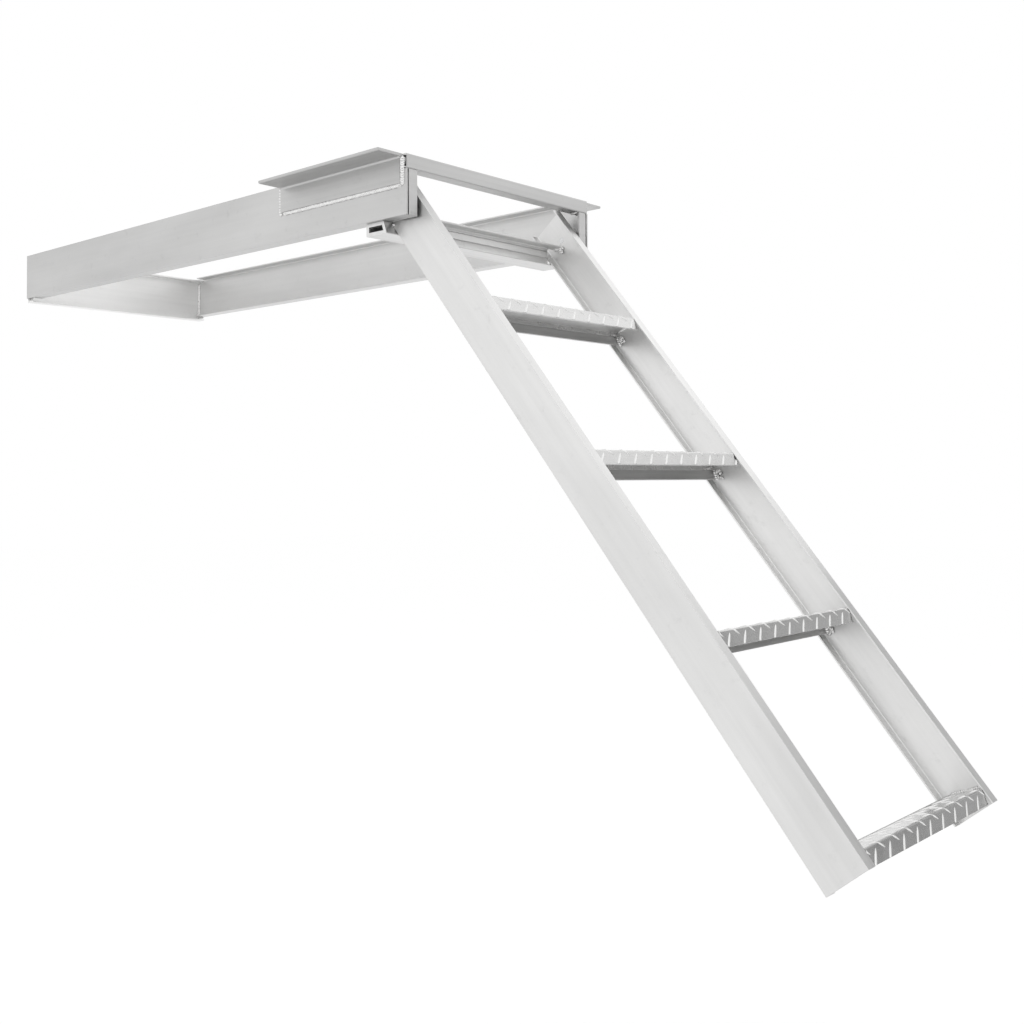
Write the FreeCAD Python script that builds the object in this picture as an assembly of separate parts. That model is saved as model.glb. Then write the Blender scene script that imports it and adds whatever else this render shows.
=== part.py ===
import FreeCAD, Part
import math
import os

# Under-deck sliding boat ladder with four steps, welded aluminium.
# Millimetres. X points away from the boat, the ladder comes out that way.
# Y runs across, left is +Y. Z is up.
# The origin is on the centre line, in the middle of the flat top of the front
# crossbar, which lies against the underside of the deck.
# The pose drawn is the one in use: pulled fully out and swung down.

V = FreeCAD.Vector

# Frame, the fixed part under the deck
frame_width = 482.6
frame_length = 1320.0
channel_height = 102.0
channel_flange = 25.4
channel_wall = 3.2
channel_fillet = 2.4
crossbar_depth = 25.4
crossbar_height = 25.4
crossbar_wall = 3.2
crossbar_corner = 3.0
crossbar_inset = 2.0
cap_thickness = 5.0
cap_side_gap = 3.0

# Rear crossmember, a channel with its flanges to the front
rear_height = 106.0
rear_drop = 6.0
rear_flange = 25.4
rear_wall = 3.2

# Deck angles, one on each side at the front
angle_length = 320.0
angle_setback = 10.0
angle_leg = 51.0
angle_flange = 54.0
angle_wall = 4.8
angle_toe = 2.5

# Ladder rails, channels with their flanges inward
side_clearance = 5.0
rail_depth = 73.0
rail_flange = 19.0
rail_wall = 3.2
rail_fillet = 2.0
rail_length = 1288.0
swing_angle = 50.5
apex_behind_front = 44.5
apex_below_deck = 18.0

# Pivot, measured along the rail from its top end and in from its front edge,
# and the roller, spacer and retaining ring on its pin
pivot_along = 49.0
pivot_in = 32.0
pin_diameter = 12.0
pin_running_gap = 0.1
pin_end_gap = 2.1
roller_gap_below = 0.3
roller_width = 14.5
roller_groove = 1.2
roller_edge = 1.2
spacer_diameter = 22.0
spacer_end_gap = 0.3
retainer_diameter = 18.0
retainer_thickness = 1.5
retainer_depth = 0.8
retainer_mouth = 8.0

# Steps
step_count = 4
step_pitch = 323.0
last_step_back = 1.0
tread_tilt = 17.5
tread_width = 57.0
tread_lip = 24.0
tread_hem = 9.5
tread_wall = 2.6
tread_bend = 3.0
tread_end_gap = 0.6
tread_notch = 5.0
support_height = 26.4
support_wall = 3.2

# Stop bar, a flat tube with a leaning front wall, and the angle and flat bar in front of it
stop_depth = 50.8
stop_height = 22.0
stop_wall = 6.35
stop_lean = 7.5
stop_end_inset = 8.0
stop_behind_front = 57.0
rest_gap = 0.3
rung_leg = 9.0
rung_edge = 1.0
rung_above_stop = 14.3
rung_shelf = 26.0
rung_wall = 3.0
rung_leg_wall = 3.5
rung_behind_front = 63.5
backing_height = 11.9
backing_gap = 0.6
backing_edge = 0.6

# Derived places
front_x = crossbar_depth / 2.0
rear_x = front_x - frame_length
apex_x = front_x - apex_behind_front
apex_z = -apex_below_deck
stop_front = front_x - stop_behind_front
stop_top = -channel_height - rest_gap
half_width = frame_width / 2.0
web_inside = half_width - channel_wall
track_edge = half_width - channel_flange
rail_outside = track_edge - side_clearance
rail_inside = rail_outside - rail_wall
rail_tip = rail_outside - rail_flange
swing = math.radians(swing_angle)
tilt = math.radians(tread_tilt)


def save(shape, name):
    """Write one closed solid under its own name."""
    solid = shape.removeSplitter()
    if not solid.isValid():
        solid.fix(0.01, 0.01, 0.01)
    solid.exportStep("parts/" + name + ".step")


def box(x0, x1, y0, y1, z0, z1):
    """Block between two opposite corners."""
    corner = V(min(x0, x1), min(y0, y1), min(z0, z1))
    return Part.makeBox(abs(x1 - x0), abs(y1 - y0), abs(z1 - z0), corner)


def face_of(points):
    """Flat face from a closed list of corners."""
    return Part.Face(Part.makePolygon([V(*p) for p in points] + [V(*points[0])]))


def edges_along(shape, direction, test):
    """Straight edges that run along a direction and pass a test on their middle."""
    found = []
    for edge in shape.Edges:
        if len(edge.Vertexes) != 2:
            continue
        span = edge.Vertexes[1].Point - edge.Vertexes[0].Point
        if span.Length < 1.0:
            continue
        if abs(span.normalize().dot(direction)) < 0.999:
            continue
        if test(edge.CenterOfMass):
            found.append(edge)
    return found


def mirrored(shape):
    """Copy for the other side of the centre line."""
    return shape.mirror(V(0, 0, 0), V(0, 1, 0))


def rail_place(shape):
    """Turn a shape drawn along +X at the origin into the ladder's slope."""
    moved = shape.copy()
    moved.rotate(V(0, 0, 0), V(0, 1, 0), swing_angle)
    moved.translate(V(apex_x, 0, apex_z))
    return moved


def channel_profile(x, outer, flange, wall, top, bottom):
    """C section across Y, web at the outer side and flanges inward."""
    inner = outer - flange
    return [
        (x, outer, top),
        (x, inner, top),
        (x, inner, top - wall),
        (x, outer - wall, top - wall),
        (x, outer - wall, bottom + wall),
        (x, inner, bottom + wall),
        (x, inner, bottom),
        (x, outer, bottom),
    ]


# Side channels of the frame
def side_channel():
    profile = channel_profile(
        rear_x, half_width, channel_flange, channel_wall, 0.0, -channel_height
    )
    shape = face_of(profile).extrude(V(frame_length, 0, 0))
    along = V(1, 0, 0)
    inside = edges_along(shape, along, lambda c: abs(c.y - web_inside) < 0.01)
    inside = [e for e in inside if -channel_height + 0.1 < e.CenterOfMass.z < -0.1]
    shape = shape.makeFillet(channel_fillet, inside)
    tips = edges_along(shape, along, lambda c: abs(c.y - track_edge) < 0.01)
    shape = shape.makeFillet(0.9, tips)
    # notch for the crossbar at the front top corner
    shape = shape.cut(
        box(front_x - crossbar_depth, front_x + 1, 0, half_width + 1,
            -crossbar_height, 1)
    )
    # the lower flange stops behind the end cap
    shape = shape.cut(
        box(front_x - cap_thickness, front_x + 1, 0, web_inside,
            -channel_height - 1, -channel_height / 2)
    )
    # both flanges stop at the rear crossmember
    shape = shape.cut(
        box(rear_x - 1, rear_x + rear_flange, 0, web_inside,
            -channel_height - 1, 1)
    )
    return shape


# Plate that closes the front end of one track
def end_cap():
    shape = box(
        front_x - cap_thickness, front_x,
        track_edge, web_inside - cap_side_gap,
        -channel_height, -crossbar_height,
    )
    upright = edges_along(shape, V(0, 0, 1), lambda c: c.x > front_x - 0.1)
    return shape.makeFillet(1.0, upright)


# Front crossbar, a tube with open ends that lies in notches of the webs
def front_crossbar():
    back = front_x - crossbar_depth
    half = half_width - crossbar_inset
    outside = box(back, front_x, -half, half, -crossbar_height, 0)
    outside = outside.makeFillet(
        crossbar_corner, edges_along(outside, V(0, 1, 0), lambda c: True)
    )
    hollow = box(
        back + crossbar_wall, front_x - crossbar_wall,
        -half_width - 1, half_width + 1,
        -crossbar_height + crossbar_wall, -crossbar_wall,
    )
    return outside.cut(hollow)


# Rear crossmember between the webs of the side channels
def rear_crossmember():
    top = -rear_drop
    bottom = top - rear_height
    back = rear_x
    front = back + rear_flange
    y = -web_inside
    profile = [
        (back, y, top),
        (front, y, top),
        (front, y, top - rear_wall),
        (back + rear_wall, y, top - rear_wall),
        (back + rear_wall, y, bottom + rear_wall),
        (front, y, bottom + rear_wall),
        (front, y, bottom),
        (back, y, bottom),
    ]
    shape = face_of(profile).extrude(V(0, 2 * web_inside, 0))
    across = V(0, 1, 0)
    inside = edges_along(
        shape,
        across,
        lambda c: abs(c.x - back - rear_wall) < 0.01,
    )
    return shape.makeFillet(channel_fillet, inside)


# Angle that carries one side of the frame under the deck
def deck_angle():
    rear = front_x - angle_setback - angle_length
    y0 = half_width
    profile = [
        (rear, y0, 0),
        (rear, y0 + angle_flange, 0),
        (rear, y0 + angle_flange, -angle_wall),
        (rear, y0 + angle_wall, -angle_wall),
        (rear, y0 + angle_wall, -angle_leg),
        (rear, y0, -angle_leg),
    ]
    shape = face_of(profile).extrude(V(angle_length, 0, 0))
    along = V(1, 0, 0)
    root = edges_along(
        shape, along,
        lambda c: abs(c.y - y0 - angle_wall) < 0.01 and abs(c.z + angle_wall) < 0.01,
    )
    shape = shape.makeFillet(4.0, root)
    toes = edges_along(
        shape, along,
        lambda c: (abs(c.y - y0 - angle_flange) < 0.01 and c.z < -0.1)
        or (abs(c.y - y0 - angle_wall) < 0.01 and c.z < -angle_leg + 0.1),
    )
    return shape.makeFillet(angle_toe, toes)


# Ladder rail, drawn along +X with its front edge on top
def rail():
    profile = channel_profile(0.0, rail_outside, rail_flange, rail_wall, 0.0, -rail_depth)
    shape = face_of(profile).extrude(V(rail_length, 0, 0))
    along = V(1, 0, 0)
    inside = edges_along(
        shape, along, lambda c: abs(c.y - rail_inside) < 0.01
    )
    inside = [e for e in inside if -rail_depth + 0.1 < e.CenterOfMass.z < -0.1]
    shape = shape.makeFillet(rail_fillet, inside)
    tips = edges_along(shape, along, lambda c: abs(c.y - rail_tip) < 0.01)
    shape = shape.makeFillet(0.9, tips)
    hole = Part.makeCylinder(
        pin_diameter / 2.0 + pin_running_gap,
        rail_wall + 2,
        V(pivot_along, rail_inside - 1, -pivot_in),
        V(0, 1, 0),
    )
    return rail_place(shape.cut(hole))


def step_corner(index):
    """Distance down the rail to the front top corner of a tread."""
    last = rail_length - last_step_back - tread_lip * math.cos(tilt)
    return last - (step_count - index) * step_pitch


def on_rail(shape, along, depth):
    """Place a step section, drawn with its corner at the origin, on the rails.

    In the section -X runs back under the foot and -Z runs down.
    """
    moved = shape.copy()
    moved.rotate(V(0, 0, 0), V(0, 1, 0), -(90.0 - tread_tilt))
    moved.translate(V(along, 0, -depth))
    return rail_place(moved)


# Tread, a plate with a lip in front and a short hem at the back
def tread():
    y0 = -rail_inside + tread_end_gap
    length = 2 * (rail_inside - tread_end_gap)
    hem_inside = tread_width - tread_wall
    profile = [
        (0, y0, 0),
        (-tread_width, y0, 0),
        (-tread_width, y0, -tread_hem),
        (-hem_inside, y0, -tread_hem),
        (-hem_inside, y0, -tread_wall),
        (-tread_wall, y0, -tread_wall),
        (-tread_wall, y0, -tread_lip),
        (0, y0, -tread_lip),
    ]
    shape = face_of(profile).extrude(V(0, length, 0))
    across = V(0, 1, 0)
    outer = edges_along(
        shape, across,
        lambda c: (abs(c.x) < 0.01 or abs(c.x + tread_width) < 0.01)
        and abs(c.z) < 0.01,
    )
    shape = shape.makeFillet(tread_bend, outer)
    # the lip and the front corners stop at the front flanges of the rails
    for side in (-1, 1):
        shape = shape.cut(
            box(-tread_notch, 1,
                side * (rail_tip - tread_end_gap), side * rail_outside,
                -tread_lip - 1, 1)
        )
    return shape


# Flat bar on edge behind the hem of a tread, from rail to rail
def support_bar():
    half = rail_inside - tread_end_gap
    shape = box(
        -tread_width - support_wall, -tread_width, -half, half, -support_height, 0
    )
    lower = edges_along(shape, V(0, 1, 0), lambda c: c.z < -1)
    return shape.makeFillet(0.8, lower)


# Tube across the back of the rails, its ends bear on the side channels
def stop_section(inset, y):
    """Corners of the stop bar's section, moved inward from its outside."""
    low = stop_top - stop_height + inset
    top = stop_top - inset
    back = stop_front - stop_depth + inset
    lean = stop_lean * (stop_height - 2 * inset) / stop_height
    front = stop_front - stop_lean * inset / stop_height - inset
    return [(back, y, low), (front, y, low), (front - lean, y, top), (back, y, top)]


def stop_bar():
    half = half_width - stop_end_inset
    outside = face_of(stop_section(0.0, -half)).extrude(V(0, 2 * half, 0))
    outside = outside.makeFillet(
        1.6, edges_along(outside, V(0, 1, 0), lambda c: True)
    )
    hollow = face_of(stop_section(stop_wall, -half - 1)).extrude(V(0, 2 * half + 2, 0))
    return outside.cut(hollow)


def stop_bar_room():
    """Room that the stop bar takes in the back of the rails."""
    return face_of(stop_section(0.0, -half_width)).extrude(V(0, 2 * half_width, 0))


# Angle between the rails, its short leg above the stop bar
def top_rung():
    top = stop_top + rung_above_stop
    rear = front_x - rung_behind_front
    half = rail_inside
    nose = rail_tip - tread_end_gap
    shelf = box(rear, rear + rung_shelf, -half, half, top - rung_wall, top)
    leg = box(rear, rear + rung_leg_wall, -nose, nose, top - rung_leg, top)
    shape = shelf.fuse(leg).removeSplitter()
    inner = edges_along(
        shape, V(0, 1, 0),
        lambda c: abs(c.x - rear - rung_leg_wall) < 0.01
        and abs(c.z - top + rung_wall) < 0.01,
    )
    shape = shape.makeFillet(1.5, inner)
    nosing = edges_along(
        shape, V(0, 1, 0), lambda c: abs(c.x - rear - rung_shelf) < 0.01
    )
    return shape.makeFillet(rung_edge, nosing)


# Flat bar under the angle's leg, let into the front of the stop bar
def rung_backing():
    top = stop_top + rung_above_stop - rung_leg - backing_gap
    rear = front_x - rung_behind_front
    nose = rail_tip - tread_end_gap
    shape = box(rear, rear + rung_leg_wall, -nose, nose, top - backing_height, top)
    front = edges_along(
        shape, V(0, 1, 0), lambda c: abs(c.x - rear - rung_leg_wall) < 0.01
    )
    return shape.makeChamfer(backing_edge, front).cut(stop_bar_room())


# Where the pivot comes to in the frame
def pivot_point():
    x = apex_x + pivot_along * math.cos(swing) - pivot_in * math.sin(swing)
    z = apex_z - pivot_along * math.sin(swing) - pivot_in * math.cos(swing)
    return x, z


def cylinder_across(px, pz, radius, y0, y1):
    """Cylinder along Y between two distances from the centre line."""
    return Part.makeCylinder(radius, y1 - y0, V(px, y0, pz), V(0, 1, 0))


# Places along the pin: rail, spacer, roller, retaining ring, end of the pin
pin_end = web_inside - pin_end_gap
spacer_start = rail_outside + spacer_end_gap
roller_start = track_edge + 2.0
roller_end = roller_start + roller_width
retainer_start = roller_end + spacer_end_gap


def roller(px, pz):
    radius = pz - (-channel_height + channel_wall) - roller_gap_below
    shape = cylinder_across(px, pz, radius, roller_start, roller_end)
    shape = shape.makeChamfer(
        roller_edge, [e for e in shape.Edges if e.Length > 2 * math.pi * radius - 1]
    )
    bore = cylinder_across(
        px, pz, pin_diameter / 2.0 + pin_running_gap, roller_start - 1, roller_end + 1
    )
    groove = cylinder_across(
        px, pz, radius - 5, roller_start - 1, roller_start + roller_groove
    ).cut(cylinder_across(
        px, pz, spacer_diameter / 2.0, roller_start - 1, roller_start + roller_groove
    ))
    return shape.cut(bore).cut(groove)


def pivot_pin(px, pz):
    radius = pin_diameter / 2.0
    pin = cylinder_across(px, pz, radius, rail_inside, pin_end)
    outer_end = [e for e in pin.Edges if e.CenterOfMass.y > pin_end - 0.1]
    pin = pin.makeChamfer(0.8, [e for e in outer_end if len(e.Vertexes) == 1])
    seat = cylinder_across(
        px, pz, radius + 1, retainer_start, retainer_start + retainer_thickness
    ).cut(cylinder_across(
        px, pz, radius - retainer_depth,
        retainer_start, retainer_start + retainer_thickness,
    ))
    return pin.cut(seat)


def spacer(px, pz):
    ring = cylinder_across(
        px, pz, spacer_diameter / 2.0, spacer_start, roller_start - spacer_end_gap
    )
    bore = cylinder_across(
        px, pz, pin_diameter / 2.0 + pin_running_gap, spacer_start - 1, roller_start
    )
    return ring.cut(bore)


def retainer(px, pz):
    end = retainer_start + retainer_thickness
    ring = cylinder_across(px, pz, retainer_diameter / 2.0, retainer_start, end)
    seat = cylinder_across(
        px, pz, pin_diameter / 2.0 - retainer_depth, retainer_start - 1, end + 1
    )
    mouth = box(
        px - retainer_mouth / 2.0, px + retainer_mouth / 2.0,
        retainer_start - 1, end + 1, pz - retainer_diameter, pz,
    )
    return ring.cut(seat).cut(mouth)


def main():
    os.makedirs("parts", exist_ok=True)
    channel = side_channel()
    save(channel, "left_channel")
    save(mirrored(channel), "right_channel")
    cap = end_cap()
    save(cap, "left_end_cap")
    save(mirrored(cap), "right_end_cap")
    save(front_crossbar(), "front_crossbar")
    save(rear_crossmember(), "rear_crossmember")
    angle = deck_angle()
    save(angle, "left_deck_angle")
    save(mirrored(angle), "right_deck_angle")

    px, pz = pivot_point()
    for name, make in (
        ("pivot_pin", pivot_pin),
        ("spacer", spacer),
        ("roller", roller),
        ("retainer", retainer),
    ):
        piece = make(px, pz)
        save(piece, "left_" + name)
        save(mirrored(piece), "right_" + name)

    side = rail().cut(stop_bar_room())
    save(side, "left_rail")
    save(mirrored(side), "right_rail")
    save(stop_bar(), "stop_bar")
    save(top_rung(), "top_rung")
    save(rung_backing(), "rung_backing")
    plate = tread()
    carrier = support_bar()
    for index in range(1, step_count + 1):
        along = step_corner(index)
        save(on_rail(plate, along, 0.0), "tread_" + str(index))
        save(on_rail(carrier, along, 0.0), "support_" + str(index))
    print("pivot", px, pz)


main()
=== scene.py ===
import math
import bpy
import numpy as np
from mathutils import Matrix, Vector


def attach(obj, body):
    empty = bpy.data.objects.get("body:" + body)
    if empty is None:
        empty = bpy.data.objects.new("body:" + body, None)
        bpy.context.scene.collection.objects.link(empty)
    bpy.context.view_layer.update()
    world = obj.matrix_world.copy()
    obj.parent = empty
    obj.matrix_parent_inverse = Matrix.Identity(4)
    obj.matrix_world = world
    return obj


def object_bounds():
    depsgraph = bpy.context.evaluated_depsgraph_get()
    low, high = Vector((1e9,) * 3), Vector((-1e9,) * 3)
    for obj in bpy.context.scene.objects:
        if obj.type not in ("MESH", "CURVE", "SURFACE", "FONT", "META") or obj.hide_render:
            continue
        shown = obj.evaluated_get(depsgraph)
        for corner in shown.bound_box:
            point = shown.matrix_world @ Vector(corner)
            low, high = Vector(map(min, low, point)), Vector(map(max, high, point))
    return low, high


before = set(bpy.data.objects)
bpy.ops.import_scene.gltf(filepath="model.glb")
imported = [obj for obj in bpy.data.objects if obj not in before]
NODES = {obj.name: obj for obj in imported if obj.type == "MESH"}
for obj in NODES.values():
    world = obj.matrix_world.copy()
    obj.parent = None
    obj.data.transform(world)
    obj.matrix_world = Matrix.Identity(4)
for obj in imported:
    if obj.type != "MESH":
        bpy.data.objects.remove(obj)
start_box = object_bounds()

# Sizes that the added detail follows, in metres, from the solids
SWING = math.radians(50.5)
TILT = math.radians(17.5)
FRONT = 0.0127
APEX = Vector((FRONT - 0.0445, 0.0, -0.018))
RAIL_LENGTH = 1.288
RAIL_DEPTH = 0.073
RAIL_OUTSIDE = 0.2109
RAIL_INSIDE = 0.2077
RAIL_TIP = 0.1919
HALF_WIDTH = 0.2413
WEB_INSIDE = 0.2381
TRACK_EDGE = 0.2159
CHANNEL = 0.102
CROSSBAR = 0.0254
REAR = FRONT - 1.320
STEP_COUNT = 4
STEP_PITCH = 0.323
LIP = 0.024
TREAD_WIDTH = 0.057
TREAD_WALL = 0.0026
TREAD_HEM = 0.0095
BAR_BACK = 0.0602
BAR_HIGH = 0.0264
BEND = 0.003
NOTCH = 0.005
RAIL_DIR = Vector((math.cos(SWING), 0.0, -math.sin(SWING)))
RAIL_IN = Vector((-math.sin(SWING), 0.0, -math.cos(SWING)))
FOOT_BACK = RAIL_IN * math.cos(TILT) - RAIL_DIR * math.sin(TILT)
FOOT_DOWN = RAIL_DIR * math.cos(TILT) + RAIL_IN * math.sin(TILT)
ACROSS = Vector((0.0, 1.0, 0.0))
rng = np.random.default_rng(7)


# Shader helpers
class Graph:
    """Short names for adding and joining shader nodes."""

    def __init__(self, tree):
        self.tree = tree
        self.tree.nodes.clear()

    def node(self, kind, **values):
        made = self.tree.nodes.new(kind)
        for name, value in values.items():
            setattr(made, name, value)
        return made

    def put(self, socket, value):
        if hasattr(value, "is_linked"):
            self.tree.links.new(value, socket)
        else:
            socket.default_value = value

    def math(self, kind, a, b=0.0, c=0.0, clamp=False):
        made = self.node("ShaderNodeMath", operation=kind, use_clamp=clamp)
        self.put(made.inputs[0], a)
        self.put(made.inputs[1], b)
        self.put(made.inputs[2], c)
        return made.outputs[0]

    def noise(self, vector, scale, detail=2.0, rough=0.5):
        made = self.node("ShaderNodeTexNoise")
        self.put(made.inputs["Vector"], vector)
        self.put(made.inputs["Scale"], scale)
        self.put(made.inputs["Detail"], detail)
        self.put(made.inputs["Roughness"], rough)
        return made.outputs[0]

    def ramp(self, value, low, high, to_low=0.0, to_high=1.0):
        made = self.node("ShaderNodeMapRange")
        self.put(made.inputs[0], value)
        self.put(made.inputs[1], low)
        self.put(made.inputs[2], high)
        self.put(made.inputs[3], to_low)
        self.put(made.inputs[4], to_high)
        return made.outputs[0]

    def stretched(self, along, keep):
        """Object coordinates with the pattern drawn out along one direction."""
        coord = self.node("ShaderNodeTexCoord")
        turn = Vector(along).to_track_quat("X", "Z").inverted().to_euler()
        first = self.node("ShaderNodeMapping")
        self.put(first.inputs["Vector"], coord.outputs["Object"])
        first.inputs["Rotation"].default_value = turn
        second = self.node("ShaderNodeMapping")
        self.put(second.inputs["Vector"], first.outputs[0])
        second.inputs["Scale"].default_value = (keep, 1.0, 1.0)
        return second.outputs[0]

    def plain(self):
        return self.node("ShaderNodeTexCoord").outputs["Object"]

    def scale_colour(self, colour, amount):
        made = self.node("ShaderNodeVectorMath", operation="SCALE")
        self.put(made.inputs[0], colour)
        self.put(made.inputs["Scale"], amount)
        return made.outputs[0]

    def bump(self, height, distance, strength, normal=None):
        made = self.node("ShaderNodeBump")
        self.put(made.inputs["Height"], height)
        self.put(made.inputs["Distance"], distance)
        self.put(made.inputs["Strength"], strength)
        if normal is not None:
            self.put(made.inputs["Normal"], normal)
        return made.outputs[0]

    def rounded(self, radius):
        made = self.node("ShaderNodeBevel", samples=4)
        self.put(made.inputs["Radius"], radius)
        return made.outputs[0]

    def surface(self, colour, metallic, rough, normal, anisotropic=0.0, tangent=None):
        made = self.node("ShaderNodeBsdfPrincipled")
        self.put(made.inputs["Base Color"], colour)
        self.put(made.inputs["Metallic"], metallic)
        self.put(made.inputs["Roughness"], rough)
        self.put(made.inputs["Normal"], normal)
        self.put(made.inputs["Anisotropic"], anisotropic)
        if tangent is not None:
            self.put(made.inputs["Tangent"], tangent)
        out = self.node("ShaderNodeOutputMaterial")
        self.tree.links.new(made.outputs[0], out.inputs[0])
        return made


def new_material(name):
    material = bpy.data.materials.new(name)
    material.use_nodes = True
    return material, Graph(material.node_tree)


def extruded(name, along, tone, rough=0.42, lines=1.0):
    """Mill finish: die lines drawn along the section, soft blotches and small rubs."""
    material, g = new_material(name)
    drawn = g.stretched(along, 0.012)
    cloudy = g.stretched(along, 0.25)
    fine = g.noise(drawn, 900.0, 3.0, 0.65)
    wide = g.noise(drawn, 140.0, 2.0, 0.5)
    cloud = g.noise(cloudy, 14.0, 3.0, 0.55)
    grain = g.noise(g.plain(), 2600.0, 1.0, 0.5)
    rub = g.ramp(g.noise(g.plain(), 55.0, 4.0, 0.7), 0.60, 0.74)
    shade = g.math("ADD", g.ramp(fine, 0.3, 0.7, -0.030 * lines, 0.030 * lines),
                   g.ramp(wide, 0.3, 0.7, -0.035 * lines, 0.035 * lines))
    shade = g.math("ADD", shade, g.ramp(cloud, 0.3, 0.7, -0.05, 0.05))
    shade = g.math("ADD", shade, g.math("MULTIPLY", rub, -0.04))
    shade = g.math("ADD", shade, 1.0)
    colour = g.scale_colour((tone, tone * 0.998, tone * 0.992), shade)
    roughness = g.math("ADD", g.ramp(fine, 0.3, 0.7, -0.05, 0.06), rough)
    roughness = g.math("ADD", roughness, g.math("MULTIPLY", rub, 0.10))
    height = g.math("ADD", g.math("MULTIPLY", fine, 0.7), g.math("MULTIPLY", grain, 0.5))
    normal = g.bump(height, 0.00006, 0.55, g.rounded(0.0007))
    g.surface(colour, 1.0, roughness, normal)
    return material


def rolled_plate(name, tone, rough):
    """Tread plate: rolled along its length, pitted on its outer side only."""
    material, g = new_material(name)
    facing = g.node("ShaderNodeVectorMath", operation="DOT_PRODUCT")
    coord = g.node("ShaderNodeTexCoord")
    g.put(facing.inputs[0], coord.outputs["Normal"])
    g.put(facing.inputs[1], tuple(-(FOOT_DOWN + FOOT_BACK)))
    outer = g.ramp(facing.outputs["Value"], 0.0, 0.5)
    drawn = g.stretched((0, 1, 0), 0.05)
    fine = g.noise(drawn, 700.0, 3.0, 0.6)
    cloud = g.noise(g.plain(), 35.0, 4.0, 0.6)
    grain = g.noise(g.plain(), 1800.0, 2.0, 0.6)
    pits = g.noise(g.plain(), 620.0, 3.0, 0.7)
    shade = g.math("ADD", g.ramp(fine, 0.3, 0.7, 0.965, 1.035),
                   g.ramp(cloud, 0.3, 0.7, -0.035, 0.035))
    colour = g.scale_colour((tone, tone * 0.998, tone * 0.992), shade)
    roughness = g.math("ADD", g.ramp(cloud, 0.3, 0.7, -0.03, 0.05), rough)
    roughness = g.math("ADD", roughness, g.ramp(outer, 0.0, 1.0, 0.28, 0.0))
    grain = g.math("ADD", g.math("MULTIPLY", grain, 0.6), g.math("MULTIPLY", pits, 0.7))
    height = g.math("ADD", g.math("MULTIPLY", fine, 0.3), g.math("MULTIPLY", grain, outer))
    normal = g.bump(height, 0.00010, 0.6, g.rounded(0.0006))
    g.surface(colour, 1.0, roughness, normal)
    return material


def weld_metal(name, tone):
    """Weld bead: bright on the ripples, darker between them and at its toes, partly soot and
    partly painted shade in the valleys and toes.
    """
    material, g = new_material(name)
    crest = g.node("ShaderNodeAttribute", attribute_name="crest").outputs["Fac"]
    cloud = g.noise(g.plain(), 180.0, 4.0, 0.65)
    swirl = g.noise(g.plain(), 420.0, 3.0, 0.6)
    grain = g.noise(g.plain(), 3000.0, 2.0, 0.6)
    # Darker in the ripple valleys and at the toes: partly soot, partly painted shade in these
    # creases.
    clean_and_lit = g.math("ADD", crest, g.ramp(swirl, 0.3, 0.7, -0.30, 0.30))
    shade = g.math("MULTIPLY", g.ramp(clean_and_lit, 0.05, 0.70, 0.28, 1.0),
                   g.ramp(cloud, 0.3, 0.7, 0.92, 1.06))
    colour = g.scale_colour((tone, tone * 0.997, tone * 0.99), shade)
    roughness = g.ramp(cloud, 0.3, 0.7, 0.22, 0.40)
    relief = g.math("ADD", g.math("MULTIPLY", swirl, 1.0), g.math("MULTIPLY", grain, 0.12))
    normal = g.bump(relief, 0.0007, 0.7)
    g.surface(colour, 1.0, roughness, normal)
    return material


def moulded(name):
    """Black nylon with a faint moulded grain."""
    material, g = new_material(name)
    grain = g.noise(g.plain(), 1500.0, 3.0, 0.6)
    cloud = g.noise(g.plain(), 60.0, 3.0, 0.6)
    colour = g.scale_colour((0.05, 0.05, 0.052), g.ramp(cloud, 0.3, 0.7, 0.8, 1.25))
    roughness = g.ramp(cloud, 0.3, 0.7, 0.40, 0.55)
    normal = g.bump(grain, 0.00006, 0.4, g.rounded(0.0004))
    g.surface(colour, 0.0, roughness, normal)
    return material


def turned_steel(name):
    """Stainless pin stock with turning marks."""
    material, g = new_material(name)
    marks = g.noise(g.stretched((0, 1, 0), 6.0), 350.0, 2.0, 0.6)
    cloud = g.noise(g.plain(), 90.0, 3.0, 0.6)
    colour = g.scale_colour((0.66, 0.665, 0.67), g.ramp(cloud, 0.3, 0.7, 0.92, 1.06))
    roughness = g.ramp(marks, 0.3, 0.7, 0.20, 0.34)
    normal = g.bump(marks, 0.00005, 0.5, g.rounded(0.0004))
    g.surface(colour, 1.0, roughness, normal)
    return material


# Materials of each piece
along_x = (1.0, 0.0, 0.0)
along_y = (0.0, 1.0, 0.0)
# The two channels are one stock: the near channel's darker tone is painted shade, the far
# channel's lighter tone is painted light.
near_channel_shaded = extruded("near_channel_shaded", along_x, 0.575, 0.42, 0.45)
far_channel_lit = extruded("far_channel_lit", along_x, 0.68, 0.42, 0.45)
angle_metal = extruded("angle_metal", along_x, 0.53)
cross_metal = extruded("cross_metal", along_y, 0.56)
# The rear crossmember's high tone is painted light, standing in for its brightly lit web.
rear_metal_lit = extruded("rear_metal_lit", along_y, 0.86, 0.42, 0.5)
# The two rails are one stock: the near rail's darker tone is painted shade, the far rail's
# lighter tone is painted light.
near_rail_shaded = extruded("near_rail_shaded", tuple(RAIL_DIR), 0.72, 0.42, 0.5)
far_rail_lit = extruded("far_rail_lit", tuple(RAIL_DIR), 0.77, 0.42, 0.5)
support_metal = extruded("support_metal", along_y, 0.55, 0.36, 2.2)
bar_metal = extruded("bar_metal", along_y, 0.70)
plate_metal = rolled_plate("plate_metal", 0.65, 0.25)
# The lugs are the tread plate itself; their lighter tone than the plate is a painted
# highlight.
lug_metal_highlit = rolled_plate("lug_metal_highlit", 0.82, 0.26)
bead_metal = weld_metal("bead_metal", 0.88)
nylon = moulded("nylon")
steel = turned_steel("steel")

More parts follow.
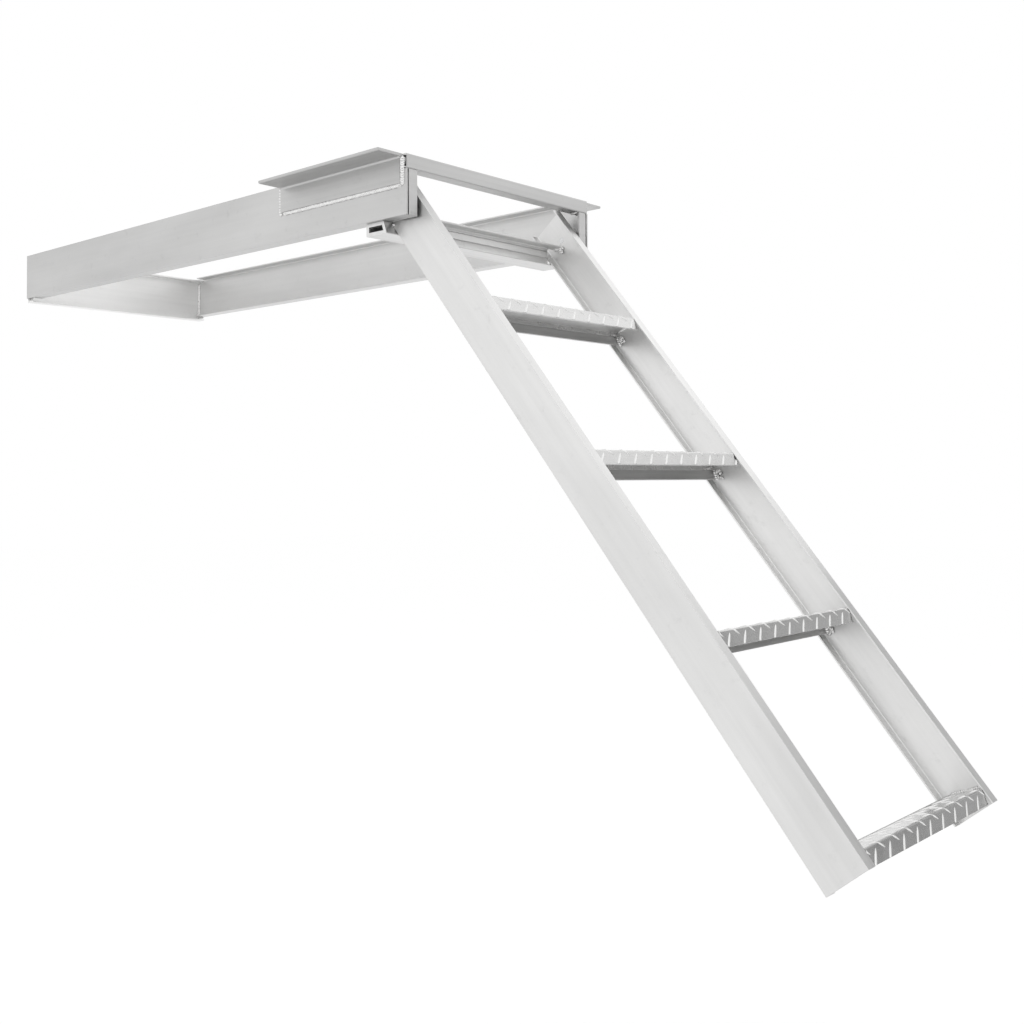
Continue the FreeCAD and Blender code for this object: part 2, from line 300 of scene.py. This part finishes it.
FINISH = {
    "left_channel": far_channel_lit, "right_channel": near_channel_shaded,
    "front_crossbar": cross_metal, "rear_crossmember": rear_metal_lit,
    "left_end_cap": cross_metal, "right_end_cap": cross_metal,
    "left_deck_angle": angle_metal, "right_deck_angle": angle_metal,
    "left_roller": nylon, "right_roller": nylon,
    "left_rail": far_rail_lit, "right_rail": near_rail_shaded,
    "top_rung": bar_metal, "rung_backing": bar_metal, "stop_bar": bar_metal,
}
for side in ("left_", "right_"):
    for part in ("pivot_pin", "spacer", "retainer"):
        FINISH[side + part] = steel
for k in range(1, STEP_COUNT + 1):
    FINISH["tread_" + str(k)] = plate_metal
    FINISH["support_" + str(k)] = support_metal
for name, node in NODES.items():
    node.data.materials.clear()
    node.data.materials.append(FINISH[name])


def add_mesh(name, points, faces, material, body):
    """One added piece that rides a body of the model."""
    mesh = bpy.data.meshes.new(name)
    mesh.from_pydata([tuple(p) for p in points], [], faces)
    mesh.materials.append(material)
    mesh.update()
    mesh.polygons.foreach_set("use_smooth", [True] * len(mesh.polygons))
    piece = bpy.data.objects.new(name, mesh)
    bpy.context.scene.collection.objects.link(piece)
    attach(piece, body)
    return piece


def step_corner(index):
    """Front top corner of a tread on the centre line."""
    last = RAIL_LENGTH - 0.001 - LIP * math.cos(TILT)
    return APEX + RAIL_DIR * (last - (STEP_COUNT - index) * STEP_PITCH)


# Raised lugs of the tread plate
LUG_PITCH = 0.0415
LUG_ROW = LUG_PITCH / 2.0
LUG_HALF = 0.0168
LUG_WIDE = 0.0028
LUG_HIGH = 0.0016
LUG_FIRST = 0.0053
LUG_STEEP = 0.80
LUG_FLAT = 0.60
LUG_LOWER = 0.0024
LIP_FLAT = LIP - BEND
ARC = BEND * math.pi / 2.0
SHEET = LIP_FLAT + ARC + TREAD_WIDTH - 2.0 * BEND


def on_sheet(corner, y, w, height):
    """Point over the plate; w runs up the lip, round the bend and back."""
    if w < LIP_FLAT:
        back, down, out_back, out_down = 0.0, LIP - w, -1.0, 0.0
    elif w < LIP_FLAT + ARC:
        turn = (w - LIP_FLAT) / BEND
        back = BEND * (1.0 - math.cos(turn))
        down = BEND * (1.0 - math.sin(turn))
        out_back, out_down = -math.cos(turn), -math.sin(turn)
    else:
        back, down, out_back, out_down = w - LIP_FLAT - ARC + BEND, 0.0, 0.0, -1.0
    place = corner + FOOT_BACK * (back + out_back * height)
    place = place + FOOT_DOWN * (down + out_down * height)
    return place + ACROSS * y


def lug_mesh(corner, phase, points, faces):
    rows = 17
    columns = 9
    lip_end = RAIL_TIP - 0.0012
    top_end = RAIL_INSIDE - 0.0012
    notch_w = LIP_FLAT + ARC + NOTCH - BEND
    row = 0
    while LUG_FIRST + row * LUG_ROW < SHEET + LUG_HALF:
        steep = row % 2 == 0
        w0 = LUG_FIRST + row * LUG_ROW - (0.0 if steep else LUG_LOWER)
        up = LUG_STEEP if steep else LUG_FLAT
        over = LUG_FLAT if steep else -LUG_STEEP
        shift = phase + (0.5 if row % 2 else 0.0) * LUG_PITCH
        wide = top_end if w0 > notch_w + LUG_HALF * up else lip_end
        for column in range(-7, 8):
            y0 = shift + column * LUG_PITCH
            if abs(y0) > wide + LUG_HALF * 0.3:
                continue
            base = len(points)
            for i in range(rows):
                t = -1.0 + 2.0 * i / (rows - 1)
                width = LUG_WIDE * (1.0 if steep else 0.75) * (1.0 - t * t) ** 0.62
                for j in range(columns):
                    s = -1.0 + 2.0 * j / (columns - 1)
                    height = LUG_HIGH * (1.0 - abs(s) ** 1.9) * (1.0 - t ** 4)
                    y = y0 + over * t * LUG_HALF + up * s * width
                    w = w0 + up * t * LUG_HALF - over * s * width
                    height = height * min(1.0, max(0.0, (SHEET - w) / 0.003))
                    turn = min(1.0, max(0.0, (w - LIP_FLAT) / ARC))
                    height = height * (1.0 - 0.75 * math.sin(math.pi * turn)) - 0.0001
                    y = min(max(y, -wide), wide)
                    w = min(max(w, 0.0003), SHEET - 0.0003)
                    points.append(on_sheet(corner, y, w, height))
            for i in range(rows - 1):
                for j in range(columns - 1):
                    a = base + i * columns + j
                    faces.append((a, a + 1, a + columns + 1, a + columns))
        row += 1


LUG_PHASE = (0.009, -0.0175, -0.0075, -0.008)
for k in range(1, STEP_COUNT + 1):
    points, faces = [], []
    lug_mesh(step_corner(k), LUG_PHASE[k - 1], points, faces)
    add_mesh("tread_lugs_" + str(k), points, faces, lug_metal_highlit, "ladder")


# Weld beads in the corner between two faces
class Beads:
    """Collects rippled fillet beads into one mesh."""

    def __init__(self):
        self.points = []
        self.faces = []
        self.crests = []

    def run(self, start, end, first, second, size=0.0042, pitch=0.0034, sink=0.0006,
            rough=0.17, ridge=False, clean_and_lit=1.0):
        """Bead from start to end; first and second point out of the two faces.

        A ridge lies on the face that first points out of, second across it.
        """
        start, end = Vector(start), Vector(end)
        first, second = Vector(first).normalized(), Vector(second).normalized()
        span = (end - start).length
        along = (end - start).normalized()
        steps = max(8, int(span / pitch * 6))
        around = 9
        base = len(self.points)
        wobble = rng.normal(0.0, 1.0, 12)
        for i in range(steps + 1):
            t = i / steps
            place = start + along * span * t
            d = span * t
            swell = 1.0
            for k in range(4):
                swell += 0.035 * wobble[k] * math.sin(d * (120.0 + 90.0 * k) + wobble[k + 4])
            ends = min(1.0, min(d, span - d) / (size * 0.9) + 0.05) ** 0.5
            for j in range(around):
                a = j / (around - 1)
                angle = (a - 0.5) * math.pi if ridge else a * math.pi / 2.0
                crest = math.sin(a * math.pi)
                phase = d / pitch - 0.55 * crest
                saw = phase - math.floor(phase)
                ripple = 1.0 + rough * crest * (0.5 - saw)
                leg = size * swell * ends
                flat = 1.0 if ridge else 1.0 / (math.cos(angle) + math.sin(angle))
                radius = leg * (0.45 * flat + 0.50) * ripple
                out = first * math.cos(angle) + second * math.sin(angle)
                low = first if ridge else first + second
                self.points.append(place + out * radius - low * sink)
                # The saw term darkens the valleys between the ripples, partly soot and partly
                # painted shade; a bead given 0 here is dark all over.
                self.crests.append(min(1.0, 1.5 * crest) * (1.0 - 0.95 * saw ** 2) * clean_and_lit
                                   - 0.4 * (1.0 - clean_and_lit))
        for i in range(steps):
            for j in range(around - 1):
                a = base + i * around + j
                self.faces.append((a, a + around, a + around + 1, a + 1))

    def heap(self, start, end, first, second, size, spread=0.008, count=9):
        """Weld built up in a fillet and short ridges laid over it every way."""
        start, end = Vector(start), Vector(end)
        first, second = Vector(first).normalized(), Vector(second).normalized()
        self.run(start, end, first, second, size=size, pitch=0.0042, rough=0.26)
        along = (end - start).normalized()
        for i in range(count):
            place = start + (end - start) * rng.uniform(0.1, 1.0)
            place = place + second * (rng.uniform(0.15, 1.0) * spread)
            place = place + first * (size * rng.uniform(0.1, 0.45))
            turn = rng.uniform(-1.3, 1.3)
            way = second * math.cos(turn) + along * math.sin(turn)
            across = along * math.cos(turn) - second * math.sin(turn)
            reach = way * rng.uniform(0.0025, 0.0045)
            self.run(place - reach, place + reach, first, across,
                     size=rng.uniform(0.0019, 0.0030), pitch=0.0028, rough=0.3, ridge=True)

    def make(self, name, body):
        piece = add_mesh(name, self.points, self.faces, bead_metal, body)
        crest = piece.data.attributes.new("crest", "FLOAT", "POINT")
        crest.data.foreach_set("value", self.crests)


UP = Vector((0, 0, 1))
DOWN = Vector((0, 0, -1))
OUT_X = Vector((1, 0, 0))
IN_X = Vector((-1, 0, 0))

BAR_TOP = -0.1023
BAR_FRONT = FRONT - 0.057
BAR_REAR = BAR_FRONT - 0.0508
BAR_LEAN = 0.0075
RUNG_TOP = BAR_TOP + 0.0143
RUNG_REAR = FRONT - 0.0635
RUNG_SHELF = 0.026

frame_beads = Beads()
ladder_beads = Beads()
angle_front = FRONT - 0.010
angle_rear = angle_front - 0.320
for side in (-1, 1):
    outward = ACROSS * side
    inward = ACROSS * -side
    y = side * HALF_WIDTH
    # deck angle to the web of the channel
    frame_beads.run((angle_rear + 0.002, y, -0.0505), (angle_front, y, -0.0505),
                    outward, DOWN, size=0.0066, pitch=0.0040, rough=0.30)
    frame_beads.run((angle_front, y, -0.004), (angle_front, y, -0.054), outward, OUT_X,
                    size=0.0062, pitch=0.0040, rough=0.30)
    frame_beads.run((angle_rear - 0.0036, y, -0.004), (angle_rear - 0.0036, y, -0.056),
                    outward, IN_X, size=0.0044, pitch=0.0050, rough=0.26, ridge=True)
    # crossbar to the channel: its end in the notch, then inside the track
    back = FRONT - CROSSBAR
    end = side * (HALF_WIDTH - 0.0020)
    frame_beads.run((back + 0.0155, end, -0.0026), (FRONT - 0.001, end, -0.0026), outward,
                    UP, size=0.0026)
    frame_beads.run((back + 0.0155, end, -0.0020), (back + 0.0155, end, -0.0225), outward,
                    OUT_X, size=0.0060)
    frame_beads.run((back + 0.0150, end, -0.0235), (FRONT - 0.0015, end, -0.0235), outward,
                    UP, size=0.0040)
    frame_beads.run((back, side * (WEB_INSIDE - 0.001), -0.0035),
                    (back, side * TRACK_EDGE, -0.0035), IN_X, DOWN, size=0.0040)
    frame_beads.run((back, side * WEB_INSIDE, -0.004), (back, side * WEB_INSIDE, -0.0254),
                    IN_X, inward, size=0.0045)
    frame_beads.run((back + 0.002, side * TRACK_EDGE, -CROSSBAR),
                    (FRONT - 0.006, side * TRACK_EDGE, -CROSSBAR), DOWN, inward,
                    size=0.0040, rough=0.26)
    # end cap to the flange
    frame_beads.run((FRONT - 0.005, side * (TRACK_EDGE + 0.002), -0.0988),
                    (FRONT - 0.005, side * (HALF_WIDTH - 0.008), -0.0988), IN_X, UP,
                    size=0.0034)
    # rear crossmember to the web
    frame_beads.run((REAR + 0.0032, side * WEB_INSIDE, -0.012),
                    (REAR + 0.0032, side * WEB_INSIDE, -0.100), OUT_X, inward, size=0.005)
    frame_beads.run((REAR + 0.001, side * WEB_INSIDE, -0.1020),
                    (REAR + 0.025, side * WEB_INSIDE, -0.1020), DOWN, inward, size=0.0045)
    # rails to the stop bar
    for face, way in ((RAIL_OUTSIDE, outward), (RAIL_INSIDE, inward)):
        yy = side * face
        ladder_beads.run((BAR_REAR + 0.012, yy, BAR_TOP), (BAR_FRONT - BAR_LEAN, yy, BAR_TOP),
                         way, UP, size=0.0045)
        ladder_beads.run((BAR_FRONT - BAR_LEAN, yy, BAR_TOP - 0.001),
                         (BAR_FRONT - BAR_LEAN * 0.75, yy, BAR_TOP - 0.0065),
                         way, OUT_X, size=0.0065)
    tip = side * (RAIL_TIP - 0.0004)
    ladder_beads.run((BAR_FRONT - 0.0036, tip, -0.1128), (BAR_FRONT, tip, -0.1235), inward,
                     OUT_X, size=0.0050)
    # top rung to the web, a heavy bead at its tip, and to the stop bar
    web = side * RAIL_INSIDE
    ladder_beads.run((RUNG_REAR + 0.004, web, RUNG_TOP - 0.003),
                     (RUNG_REAR + RUNG_SHELF, web, RUNG_TOP - 0.003), inward, DOWN,
                     size=0.0060)
    ladder_beads.heap((RUNG_REAR + RUNG_SHELF - 0.003, web, RUNG_TOP - 0.015),
                      (RUNG_REAR + RUNG_SHELF - 0.003, web, RUNG_TOP + 0.003), inward, OUT_X,
                      size=0.0055, spread=0.007)
for y in (-0.155, -0.0775, 0.0, 0.0775, 0.155):
    ladder_beads.run((RUNG_REAR, y - 0.013, BAR_TOP), (RUNG_REAR, y + 0.013, BAR_TOP),
                     IN_X, UP, size=0.0040)

# steps to the rails
for k in range(1, STEP_COUNT + 1):
    corner = step_corner(k)
    for side in (-1, 1):
        inward = ACROSS * -side
        outward = ACROSS * side
        web = ACROSS * (side * RAIL_INSIDE)
        tip = ACROSS * (side * (RAIL_TIP - 0.0006))

        def spot(back, down, at=web):
            return corner + FOOT_BACK * back + FOOT_DOWN * down + at

        # plate to the web, above and below
        ladder_beads.run(spot(0.008, 0.0), spot(0.056, 0.0), inward, -FOOT_DOWN,
                         size=0.0040)
        ladder_beads.run(spot(0.010, TREAD_WALL), spot(0.053, TREAD_WALL), inward, FOOT_DOWN,
                         size=0.0040)
        # support bar and hem to the web, built up heavily inside the corner
        ladder_beads.heap(spot(TREAD_WIDTH, TREAD_HEM - 0.002),
                          spot(TREAD_WIDTH, BAR_HIGH + 0.003),
                          inward, -FOOT_BACK, size=0.0062, spread=0.0125, count=15)
        ladder_beads.run(spot(BAR_BACK, 0.001), spot(BAR_BACK, BAR_HIGH - 0.001),
                         inward, FOOT_BACK, size=0.0050)
        # lip to the tip of the front flange: a thin dark bead in the gap as painted shadow of
        # the gap, then a short bead at the lip's lower end
        ladder_beads.run(spot(0.0012, 0.0010, tip), spot(0.0012, 0.0215, tip),
                         -FOOT_BACK, outward, size=0.0022, clean_and_lit=0.0)
        ladder_beads.run(spot(0.0010, 0.0200, tip), spot(0.0010, 0.0238, tip),
                         -FOOT_BACK, outward, size=0.0030, pitch=0.0030)

frame_beads.make("frame_welds", "frame")
ladder_beads.make("ladder_welds", "ladder")


# Floor, world and lights
def shows_white(g):
    """1 for what the camera, metal and glass see of the surroundings."""
    path = g.node("ShaderNodeLightPath")
    shown = g.math("ADD", path.outputs["Is Camera Ray"], path.outputs["Is Glossy Ray"])
    return g.math("ADD", shown, path.outputs["Is Transmission Ray"], clamp=True)


def backdrop_world():
    world = bpy.data.worlds.new("studio")
    bpy.context.scene.world = world
    world.use_nodes = True
    g = Graph(world.node_tree)
    lit = g.node("ShaderNodeBackground")
    g.put(lit.inputs[0], (1.0, 1.0, 1.0, 1.0))
    g.put(lit.inputs[1], 0.8)
    seen = g.node("ShaderNodeBackground")
    g.put(seen.inputs[0], (1.0, 1.0, 1.0, 1.0))
    g.put(seen.inputs[1], 1.0)
    mix = g.node("ShaderNodeMixShader")
    g.put(mix.inputs[0], shows_white(g))
    g.put(mix.inputs[1], lit.outputs[0])
    g.put(mix.inputs[2], seen.outputs[0])
    out = g.node("ShaderNodeOutputWorld")
    g.put(out.inputs[0], mix.outputs[0])


def pale_floor():
    material, g = new_material("floor")
    soft = g.node("ShaderNodeBsdfDiffuse")
    g.put(soft.inputs[0], (0.86, 0.86, 0.86, 1.0))
    white = g.node("ShaderNodeEmission")
    g.put(white.inputs[0], (1.0, 1.0, 1.0, 1.0))
    g.put(white.inputs[1], g.math("MULTIPLY", shows_white(g), 0.31))
    both = g.node("ShaderNodeAddShader")
    g.put(both.inputs[0], soft.outputs[0])
    g.put(both.inputs[1], white.outputs[0])
    out = g.node("ShaderNodeOutputMaterial")
    g.put(out.inputs[0], both.outputs[0])
    level = start_box[0].z - 0.45
    bpy.ops.mesh.primitive_plane_add(size=30.0, location=(0.0, 0.0, level))
    floor = bpy.context.object
    floor.name = "floor"
    floor.data.materials.append(material)


def soft_light(name, place, target, size, power):
    lamp = bpy.data.lights.new(name, "AREA")
    lamp.shape = "RECTANGLE"
    lamp.size, lamp.size_y = size
    lamp.energy = power
    holder = bpy.data.objects.new(name, lamp)
    holder.location = place
    way = Vector(target) - Vector(place)
    holder.rotation_euler = way.to_track_quat("-Z", "Y").to_euler()
    bpy.context.scene.collection.objects.link(holder)


def grey_card():
    """Card beside the ladder, darker away from the boat, that metal shows softly."""
    material, g = new_material("card")
    split = g.node("ShaderNodeSeparateXYZ")
    g.put(split.inputs[0], g.plain())
    shade = g.math("MULTIPLY", g.ramp(split.outputs[0], 1.10, 1.45, 0.56, 0.30),
                   g.ramp(split.outputs[0], 0.55, 0.85, 0.25, 1.0))
    soft = g.node("ShaderNodeEmission")
    g.put(soft.inputs[0], (1.0, 1.0, 1.0, 1.0))
    g.put(soft.inputs[1], shade)
    out = g.node("ShaderNodeOutputMaterial")
    g.put(out.inputs[0], soft.outputs[0])
    mesh = bpy.data.meshes.new("card")
    corners = [(0.25, 1.0, -1.45), (1.9, 1.0, -1.45), (1.9, 1.0, -0.12), (0.80, 1.0, -0.12),
               (0.25, 1.0, -0.75)]
    mesh.from_pydata(corners, [], [(0, 1, 2, 3, 4)])
    mesh.materials.append(material)
    card = bpy.data.objects.new("card", mesh)
    bpy.context.scene.collection.objects.link(card)
    card.visible_camera = False
    card.visible_shadow = False
    card.visible_diffuse = False


backdrop_world()
pale_floor()
grey_card()
soft_light("key", (2.2, -1.6, 1.9), (-0.1, 0.0, -0.4), (2.4, 2.4), 6.0)
soft_light("fill", (-1.6, -2.6, 0.2), (-0.3, 0.0, -0.4), (2.4, 2.0), 2.5)
soft_light("top", (1.1, 0.84, 1.4), (0.3, 0.0, -0.5), (1.2, 1.0), 0.4)
soft_light("rim", (0.4, 2.6, 1.6), (-0.2, 0.0, -0.4), (2.6, 1.6), 2.5)

# Camera at the photograph's place
FOCAL = 1200.68
CENTRE = (487.4, 449.38)
PLACE = Vector((1.44388, -1.59303, -0.53858))
YAW, PITCH, ROLL = math.radians(42.81), math.radians(1.42), math.radians(-0.27)
ahead = Vector((-math.sin(YAW) * math.cos(PITCH), math.cos(YAW) * math.cos(PITCH),
                math.sin(PITCH)))
right = Vector((math.cos(YAW), math.sin(YAW), 0.0))
upward = right.cross(ahead)
rolled_right = right * math.cos(ROLL) + upward * math.sin(ROLL)
rolled_up = -right * math.sin(ROLL) + upward * math.cos(ROLL)
camera_data = bpy.data.cameras.new("camera")
camera = bpy.data.objects.new("camera", camera_data)
bpy.context.scene.collection.objects.link(camera)
basis = Matrix((rolled_right, rolled_up, -ahead)).transposed().to_4x4()
basis.translation = PLACE
camera.matrix_world = basis
camera_data.sensor_width = 36.0
camera_data.lens = FOCAL / 1024.0 * 36.0
camera_data.shift_x = (512.0 - CENTRE[0]) / 1024.0
camera_data.shift_y = (CENTRE[1] - 512.0) / 1024.0
camera_data.clip_start = 0.05
camera_data.clip_end = 60.0
scene = bpy.context.scene
scene.camera = camera
scene.render.resolution_x = 1024
scene.render.resolution_y = 1024
scene.view_settings.view_transform = "Standard"
scene.view_settings.look = "None"
